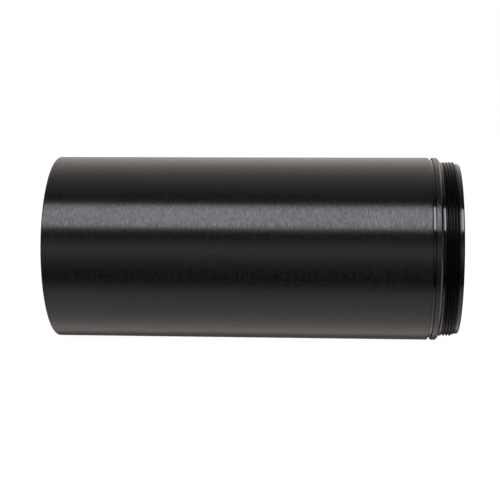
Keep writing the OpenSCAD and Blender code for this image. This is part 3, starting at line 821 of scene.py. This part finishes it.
def add_spacer_and_adjuster():
    back, front, outer = reach("spacer_sleeve")
    add_piece("spacer_sleeve", collar(back, front, outer - 2.4, outer, 0.15))
    back, front, outer = reach("adjuster_ring")
    bore = 9
    outline = [(back, bore, 0.2), *bevelled(back, front, outer, 0.3), (front, bore, 0.2)]
    drill = rod(0, 21, 2.02, SIDES_SMALL)
    cuts = [shifted(moved(drill, radial_place(degrees, 0)), x=SCREW_X) for degrees in (45, 135, 225, 315)]
    cuts += pair(rod(back - 1, back + 5, 0.85), z=BOARD_SCREW_R)
    add_piece("adjuster_ring", turned(outline), cuts=cuts)


# ---- The laser module ----

HOUSING_BORE_R = 4.5


def add_module_sleeve():
    back, front, outer = reach("module_sleeve")
    bore = 6.02
    first, second, third, last = bevelled(back, front, outer, 0.4)
    outline = [(back, bore), first, second]
    # Two shallow turned grooves, as a grip for assembly.
    for x in (front - 4.2, front - 3.0):
        outline += [(x + across, outer - deep, 0.04)
                    for across, deep in ((-0.3, 0), (-0.2, 0.15), (0.2, 0.15), (0.3, 0))]
    add_piece("module_sleeve", turned(outline + [third, last, (front, bore)]))


def add_laser_housing():
    back, front, outer = reach("laser_housing")
    bevel = 0.3
    outline = [(back, HOUSING_BORE_R), *bevelled(back, front, outer, bevel),
               (front, HOUSING_BORE_R + bevel), (front - bevel, HOUSING_BORE_R)]
    add_piece("laser_housing", turned(outline, 0.08))
    back, front, outer = reach("lens_cell")
    shelf, shelf_r, bore, root = back + 1.0, 2.6, 3.2, outer - 0.25
    outline = [
        (back, shelf_r), (back, outer - 0.3, 0.05),
        Thread((back + 0.2, root), (front - 0.3, root), 0.5, back + 0.6, outer, root),
        (front, outer - 0.35, 0.05), (front, bore), (shelf, bore, 0.03), (shelf, shelf_r, 0.03),
    ]
    slot = block((front - 0.7, -0.4, -6), (front + 1, 0.4, 6), 0)
    add_piece("lens_cell", turned(outline), cuts=[slot])


def add_lens():
    back, _, outer = reach("collimating_lens")
    edge, curve, steps = 1.2, 5.0, 16
    centre = back + edge - sqrt(curve ** 2 - outer ** 2)
    top = asin((outer - 0.1) / curve)
    turns = [top * (1 - i / steps) for i in range(steps + 1)]
    dome = [(centre + curve * cos(turn), curve * sin(turn), 0) for turn in turns]
    outline = [(back, 0), (back, outer, 0.08), (back + edge - 0.12, outer, 0.05)] + dome
    add_piece("collimating_lens", turned(outline, 0.08))


def add_diode():
    back, front, outer = reach("diode_mount")
    base, seat_r, hole_r = front - 2.6, 2.85, 2.4
    add_piece("diode_mount", turned([(back, hole_r), (back, outer), (front, outer), (front, seat_r),
                                     (base, seat_r, 0.03), (base, hole_r, 0.03)], 0.12))
    flange_r, can_r, window_r = 2.8, 2.35, 0.75
    flange, window, top = base + 1.2, base + 3.35, base + 3.6
    can = turned([
        (base, 0), (base, flange_r), (flange, flange_r), (flange, can_r, 0.15), (top - 0.2, can_r, 0.15),
        (top, can_r - 0.2), (top, window_r + 0.05, 0.05), (window, window_r, 0.03), (window, 0)], 0.08, 96)
    leg_r = 0.22
    leg = turned([(base - 5, 0), (base - 5, leg_r, 0.1), (base + 0.2, leg_r, 0), (base + 0.2, 0)], 0.05, 16)
    legs = [shifted(leg, y=y, z=z) for z, y in ((1, 0.64), (-1, 0.64), (0, -0.64))]
    add_piece("laser_diode", joined(can, *legs))


def add_driver_board():
    low, high = (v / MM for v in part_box("driver_board"))
    back, half = low.x, 0.4
    board = block((back, -half, -3.9), (high.x, half, 3.9), 0.05)
    parts = [
        block((back + 2, half, 0.2), (back + 3.6, 1.4, 2.2), 0.12),
        block((back + 1.4, half, -2.4), (back + 2.3, 1.2, -0.8), 0.1),
        block((back + 1.5, -1.5, -1.2), (back + 4.1, -half, 1), 0.15),
    ]
    piece = add_piece("driver_board", joined(board, *parts))
    # The parts soldered on it are moulded black.
    piece.data.materials.append(MATERIALS["switch_plastic"])
    for face in piece.data.polygons:
        if abs(face.center.y) > (half + 0.02) * MM:
            face.material_index = 1
    legs = []
    for x in (back + 1.8 + i * 0.66 for i in range(4)):
        for z in (-1.35 - 0.1, 1.35 - 0.1):
            legs.append(block((x - 0.13, -0.75, z - 0.25), (x + 0.13, -0.42, z + 0.25), 0.03))
    caps = [block((back + 1.4, 0.42, z), (back + 2.3, 1.22, z + 0.25), 0.05) for z in (-2.42, -1.03)]
    add_piece("driver_board", joined(*legs, *caps), name="driver_board_terminals", slot="bright_steel")


# The positive lead's way to the board: x from the adjuster ring, y and z. The negative one is opposite.
LEAD_ROUTE = [
    (0.03, 1.2, -2.6), (0.3, 1.2, -2.6), (1, 1.6, -2.75), (1.8, 1.9, -2.9), (2.7, 1.7, -2.8),
    (3.7, 1.2, -2.4), (4.7, 0.95, -2.2), (5.6, 0.9, -2.2),
]
LEAD_R, CORE_R = 0.45, 0.22


def smooth_line(points, steps=6):
    """Points on a Catmull-Rom curve through the given ones."""
    line = [Vector(p) for p in points]
    line = [line[0] * 2 - line[1]] + line + [line[-1] * 2 - line[-2]]
    made = []
    for a, b, c, d in zip(line, line[1:], line[2:], line[3:]):
        for i in range(steps):
            t = i / steps
            made.append(0.5 * (2 * b + (c - a) * t + (2 * a - 5 * b + 4 * c - d) * t ** 2
                               + (3 * b - a - 3 * c + d) * t ** 3))
    return made + [line[-2]]


def add_leads():
    for node, side in (("lead_wire_positive", 1), ("lead_wire_negative", -1)):
        route = smooth_line([(ADJUSTER_BACK + x, side * y, side * z) for x, y, z in LEAD_ROUTE])
        # The module tilts about two axes in turn. Each lead is built in two halves, which are fixed where
        # they are built.
        middle = len(route) // 2
        rear, front = route[:middle + 1], route[middle:]
        add_piece(node, wire(rear, LEAD_R, 20), stretch=("housing", "pivot_o_ring", rear[0], rear[-1]))
        add_piece(node, wire(front, LEAD_R, 20), name=node + "_front",
                  stretch=("pivot_o_ring", "laser_module", front[0], front[-1]))
        core = wire([route[-1], route[-1] + Vector((0.45, 0, 0))], CORE_R, 10)
        add_piece(node, core, name=node + "_core", slot="gold_metal", body="laser_module")


# ---- Springs, screws, tips and plungers ----


def spring(start, end, r_start, r_end, wire_r, turns):
    """A compression spring along X, with one closed turn at each end."""
    steps, rise = 28, 1.9 * wire_r
    low, high = start + wire_r + rise, end - wire_r - rise
    points = []
    for i in range(int((turns + 2) * steps) + 1):
        t = i / steps
        share = min(1, max(0, (t - 1) / turns))
        r = r_start + (r_end - r_start) * share
        x = low + (high - low) * share + rise * (min(t, 1) - 1 + max(t - turns - 1, 0))
        points.append((x, r * sin(FULL_TURN * t), r * cos(FULL_TURN * t)))
    return wire(points, wire_r, 14)


PLUNGER_BACK = 12.6
TIP_CENTRE, TIP_R = 9.55, 1.5
SCREW_INNER, SCREW_OUTER, SCREW_R = 10.65, 21.4, 1.95


def add_springs():
    add_piece("focus_spring", spring(reach("diode_mount")[1], reach("lens_cell")[0], 3.7, 3.7, 0.25, 4))
    start, end = reach("push_button")[1], reach("switch_body")[0]
    piece = add_piece("button_spring", spring(start, end, 4.6, 4.6, 0.25, 1.5))
    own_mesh(piece)
    start, end = reach("switch_board")[1], reach("battery_cell")[0]
    add_piece("battery_spring", spring(start, end, 6.6, 3.4, 0.45, 3.5))
    coil = spring(PLUNGER_BACK, BORE_R - 0.02, 1.5, 1.5, 0.2, 6)
    for name, degrees in SCREW_WAYS.items():
        place = radial_place(degrees + 180)
        centre, way = place.translation / MM, place.col[0].to_3d()
        stretch = "plunger_" + name, "housing", centre + way * PLUNGER_BACK, centre + way * BORE_R
        add_piece("return_spring_" + name, coil, place=place, stretch=stretch)


def round_nosed(rest, steps=10):
    """A solid with a round nose about TIP_CENTRE, and the rest of its outline."""
    turns = [pi / 2 * i / steps for i in range(steps + 1)]
    nose = [(TIP_CENTRE - TIP_R * cos(turn), TIP_R * sin(turn), 0) for turn in turns]
    return turned(nose + rest, 0.05, SIDES_SMALL)


def add_screws():
    root, bevel = SCREW_R - 0.3, 0.25
    screw = turned([
        (SCREW_INNER, 0), (SCREW_INNER, root - 0.05, 0.05),
        Thread((SCREW_INNER + 0.2, root), (SCREW_OUTER - 1.9, SCREW_R), 0.5, SCREW_INNER + 0.7, SCREW_R,
               root),
        (SCREW_OUTER - bevel, SCREW_R, 0.08), (SCREW_OUTER, SCREW_R - bevel, 0.08), (SCREW_OUTER, 0),
    ], 0.05, SIDES_SMALL)
    socket = rod(SCREW_OUTER - 2, SCREW_OUTER + 1, 1 / cos(pi / 6), 6)
    low, high = SCREW_OUTER - 0.15, SCREW_OUTER + 0.1
    funnel = turned([(low, 0), (low, 1.13), (high, 1.38), (high, 0)], 0, 48)
    stem, head = SCREW_INNER - 0.05, TIP_CENTRE + 1.2
    tip = round_nosed([(stem, TIP_R, 0.06), (stem, 0)])
    plunger = round_nosed([(head, TIP_R, 0.06), (head, SCREW_R, 0.1), (PLUNGER_BACK, SCREW_R, 0.1),
                           (PLUNGER_BACK, 0)])
    for name, degrees in SCREW_WAYS.items():
        add_piece("collimation_screw_" + name, screw, cuts=[socket, funnel], place=radial_place(degrees))
        add_piece("screw_tip_" + name, tip, place=radial_place(degrees))
        add_piece("return_plunger_" + name, plunger, place=radial_place(degrees + 180))


# ---- Power ----


def add_contact_board():
    back, front, _ = reach("contact_board")
    bore, outer = 1, BATTERY_BORE_R - 0.3
    cuts = pair(rod(back - 1, front + 1, 1.1), z=BOARD_SCREW_R)
    cuts.append(block((back - 1, outer - 1.2, -1.5), (front + 1, outer + 2, 1.5), 0))
    outline = [(back, bore, 0.02), (back, outer), (front, outer), (front, bore, 0.02)]
    add_piece("contact_board", turned(outline, 0.08), cuts=cuts)
    face, end, head_r, rivet_r = back - 1.4, front + 0.5, 3, 0.95
    add_piece("positive_contact", turned([
        (face, 0), (face, 2.2, 0.2), (face + 0.5, head_r, 0.15), (back, head_r, 0.03), (back, rivet_r, 0),
        (end, rivet_r, 0.1), (end, 0)], 0.05, 64))
    face, end, head_r, shank_r = back - 0.9, front + 3.8, 1.9, 0.8
    screw = turned([
        (face, 0), (face, head_r - 0.4), (face + 0.4, head_r), (back, head_r, 0.03), (back, shank_r, 0),
        (end, shank_r), (end, 0)], 0.1, 48)
    sockets = pair(rod(back - 1, back - 0.3, 0.75, 6), z=BOARD_SCREW_R)
    add_piece("board_screws", joined(*pair(screw, z=BOARD_SCREW_R)), cuts=sockets)


def add_battery():
    back, front, outer = reach("battery_carrier")
    bore, wall, flange = 8.75, 10.55, 2.4
    outline = [(back, bore)]
    for x in (back, (back + front - flange) / 2, front - flange):
        end = x + flange
        outline += [(x, wall, 0.2), (x, outer, 0.15), (end, outer, 0.15), (end, wall, 0.2)]
    # The end flanges have no corner with the wall on their outer sides.
    outline = [outline[0]] + outline[2:-1] + [(front, bore)]
    rib = block((back + 0.6, bore + 0.5, -0.7), (front - 0.6, outer - 0.5, 0.7), 0.15)
    add_piece("battery_carrier", turned(outline, 0.12), adds=[around(rib, 60 * k) for k in range(6)],
              cuts=pair(rod(front - 1.3, front + 2, 2.3), z=BOARD_SCREW_R))
    back, front, outer = reach("battery_cell")
    wrap_end = front - 1.02
    add_piece("battery_cell", turned([
        (back + 0.05, outer - 1.6, 0.05), (back + 0.02, outer - 0.9, 0.1), (back + 0.6, outer, 0.4),
        (front - 1.6, outer, 0.4), (wrap_end, outer - 0.6, 0.1), (wrap_end, outer - 1.5, 0.05),
        (front - 1.2, outer - 1.5, 0.05), (front - 1.6, outer - 0.5, 0.1), (back + 0.8, outer - 0.2, 0.1),
        (back + 0.25, outer - 1.0, 0.05), (back + 0.25, outer - 1.6, 0.05)]))
    groove, button_r = front - 1.3, 3.3
    can = turned([
        (back, 0), (back, outer - 1.7), (back + 0.3, outer - 1.1), (back + 0.9, outer - 0.25, 0.3),
        (front - 1.7, outer - 0.5, 0.2), (groove, outer - 1.5), (front - 1.1, outer - 2.2),
        (groove, outer - 2.5), (groove, button_r), (front - 0.2, button_r), (front, button_r - 0.2),
        (front, 0)])
    vent = block((front - 1.0, 2.9, -0.5), (front - 0.5, 3.6, 0.5), 0)
    add_piece("battery_cell", can, name="cell_can", slot="bright_steel",
              cuts=[around(vent, 120 * k + 30) for k in range(3)])


def add_carrier_clip():
    back, front, outer = reach("carrier_clip")
    inner = outer - 2.5
    lug_y, lug_z = 4.7, -(inner - 0.1)
    # The gap is cut before the lugs are added beside it.
    ring = mesh_object("ring", collar(back, front, inner, outer, 0.12))
    combine(ring, [block((back - 1, -3.5, -inner - 5), (front + 1, 3.5, -inner + 3), 0)], "DIFFERENCE")
    points = np.array([tuple(v.co / MM) for v in ring.data.vertices])
    faces = [tuple(f.vertices) for f in ring.data.polygons]
    bpy.data.objects.remove(ring)
    lugs, holes = (pair(shifted(shape, z=lug_z), y=lug_y) for shape in (
        collar(back, front, 0, 2.1, 0.12, 48), rod(back - 1, front + 1, 0.8)))
    add_piece("carrier_clip", (points, faces), adds=lugs, cuts=holes)


# ---- Tail cap and switch ----


def add_tail_cap():
    back, front, outer = reach("tail_cap")
    bezel_r, button_r, switch_r, board_r = 9.0, 7.0, 9.5, 13.0
    shelf, web, board_seat = back + 1.5, back + 3.0, front - 2.4
    seal_back, seal_front, seal_r = REAR + 2.6, REAR + 4.3, outer - 1.25
    root = outer - 0.4
    outline = [
        (shelf, button_r), (shelf, bezel_r, 0.05), (back, bezel_r, 0.12),
        (back, outer - 0.5, 0.15), (back + 0.5, outer, 0.15),
        (seal_back, outer), (seal_back, seal_r), (seal_front, seal_r), (seal_front, outer),
        Thread((REAR + 4.7, outer), (front - 0.6, root), 1.0, REAR + 5.5, outer, root),
        (front, root - 0.6), (front, board_r + 0.3), (front - 0.3, board_r),
        (board_seat, board_r, 0.05), (board_seat, switch_r), (web, switch_r, 0.05), (web, button_r),
    ]
    coin_slots = slots_across(back - 1, 10.6, 24, 1.2, depth=2.5)
    add_piece("tail_cap", turned(outline, 0.08, SIDES_LARGE), cuts=coin_slots)


def add_button():
    back, front, outer = reach("button_bezel")
    inner = 6.15
    outline = [(back + 0.4, inner, 0.1), (back, inner + 0.4, 0.1), (back, outer - 0.3, 0.1),
               (back + 0.3, outer, 0.1), (front, outer), (front, inner)]
    pins = pair(rod(back - 1, back + 0.95, 0.5), y=(inner + outer) / 2)
    add_piece("button_bezel", turned(outline, 0.08), cuts=pins)
    flange = front + 0.05
    back, front, outer = reach("push_button")
    r, dish, steps = 6.0, 40.0, 12
    centre = back - dish + 0.4
    dished = min(r - 0.6, sqrt(dish ** 2 - (back - centre) ** 2))
    aways = [dished * i / steps for i in range(steps + 1)]
    bowl = [(centre + sqrt(dish ** 2 - away ** 2), away, 0) for away in aways]
    outline = bowl + [
        (back + 0.06, r - 0.5, 0.05), (back + 0.18, r - 0.18, 0.2), (back + 0.6, r, 0.2),
        (flange, r, 0.05), (flange, outer, 0.1), (front, outer, 0.1), (front, 0)]
    add_piece("push_button", turned(outline, 0.05))


def add_switch():
    low, high = (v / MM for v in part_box("switch_body"))
    add_piece("switch_body", block(low, high, 0.35), cuts=[rod(low.x - 1, low.x + 2.4, 2, 48)])
    start, end, r = reach("switch_plunger")
    add_piece("switch_plunger", turned([(start, 0), (start, r, 0.3), (end, r, 0.1), (end, 0)], 0.1, 64))
    back, front, outer = reach("switch_board")
    add_piece("switch_board", collar(back, front, 0, outer, 0.08))
    foot, face, inner, outer = front - 0.02, front + 0.05, 5.7, 7.5
    pad = turned([(foot, inner, 0), (face, inner), (face, outer), (foot, outer, 0)], 0.02)
    add_piece("switch_board", pad, name="switch_board_pad", slot="gold_metal")
    back, front, outer = reach("switch_retainer")
    pins = pair(rod(back + 0.3, front + 1, 0.7), z=11.3)
    add_piece("switch_retainer", collar(back, front, 9.6, outer, 0.12), cuts=pins)


# ---- The scene ----

add_camera()
add_world()
add_key()
add_floor()
paint_cad_nodes()
for build in (
    add_body_tube, add_nose_ring, add_target, add_target_retainer, add_aperture_stop, add_pivot_ring,
    add_spacer_and_adjuster, add_module_sleeve, add_laser_housing, add_lens, add_diode, add_driver_board,
    add_leads, add_springs, add_screws, add_contact_board, add_battery, add_carrier_clip, add_tail_cap,
    add_button, add_switch,
):
    build()
add_o_ring("pivot_o_ring", 1.34)
add_o_ring("tail_o_ring", 1.36)
